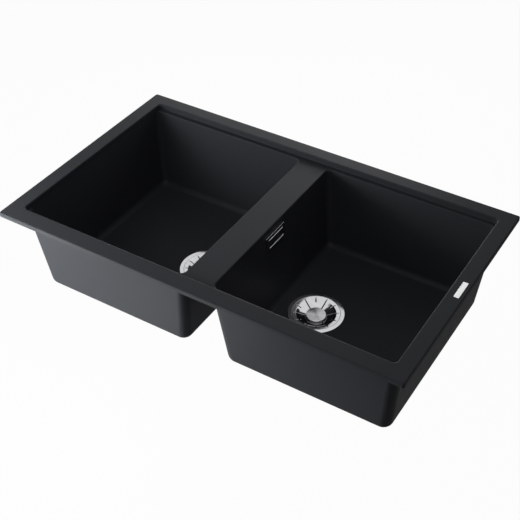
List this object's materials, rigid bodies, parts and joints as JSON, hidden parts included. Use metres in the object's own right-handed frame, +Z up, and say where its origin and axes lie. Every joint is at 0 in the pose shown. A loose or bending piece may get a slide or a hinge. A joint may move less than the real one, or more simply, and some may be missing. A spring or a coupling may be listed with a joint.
{
  "type": "double bowl kitchen sink",
  "caption": "Drop-in kitchen sink cast in granite composite: square bowls under a flat rim, a sunk divider, strainer wastes and an overflow.",
  "frame": {"origin": "middle of the worktop cut-out, on the worktop's top surface, where the rim's underside rests", "axes": "+X to the right along the rim's long side, towards the bowl with the overflow; +Y to the back, towards the wall; +Z up, out of the bowls"},
  "size_m": [0.86, 0.508, 0.2868],
  "materials": {
    "granite_composite": "fine-grained, silky matt, dark grey",
    "polished_steel": "polished stainless steel",
    "brushed_steel": "brushed stainless steel",
    "zinc_steel": "zinc-plated steel",
    "black_rubber": "matt black rubber",
    "white_plastic": "moulded white polypropylene",
    "grey_plastic": "moulded grey polyethylene"
  },
  "bodies": {
    "sink": {"sink_body": "granite_composite", "rim_plate": "brushed_steel", "left_drain_flange": "polished_steel", "left_flange_seal": "black_rubber", "left_waste_gasket": "black_rubber", "left_waste_body": "white_plastic", "left_clamp_screw": "zinc_steel", "right_drain_flange": "polished_steel", "right_flange_seal": "black_rubber", "right_waste_gasket": "black_rubber", "right_waste_body": "white_plastic", "right_clamp_screw": "zinc_steel", "overflow_cover": "polished_steel", "overflow_seal": "black_rubber", "overflow_housing": "white_plastic", "overflow_screw": "zinc_steel", "overflow_hose": "grey_plastic", "overflow_clip_upper": "zinc_steel", "overflow_clip_lower": "zinc_steel"},
    "left_basket": {"left_strainer": "polished_steel"},
    "left_plug": {"left_plug_knob": "brushed_steel", "left_plug_stem": "zinc_steel", "left_plug_seal": "black_rubber"},
    "right_basket": {"right_strainer": "polished_steel"},
    "right_plug": {"right_plug_knob": "brushed_steel", "right_plug_stem": "zinc_steel", "right_plug_seal": "black_rubber"}
  },
  "joints": [
    {"name": "left_basket_lift", "type": "slide", "parent": "sink", "child": "left_basket", "axis": [0, 0, 1], "range_m": [0, 0.25]},
    {"name": "left_plug_pull", "type": "slide", "parent": "left_basket", "child": "left_plug", "axis": [0, 0, 1], "range_m": [0, 0.008]},
    {"name": "right_basket_lift", "type": "slide", "parent": "sink", "child": "right_basket", "axis": [0, 0, 1], "range_m": [0, 0.25]},
    {"name": "right_plug_pull", "type": "slide", "parent": "right_basket", "child": "right_plug", "axis": [0, 0, 1], "range_m": [0, 0.008]}
  ]
}
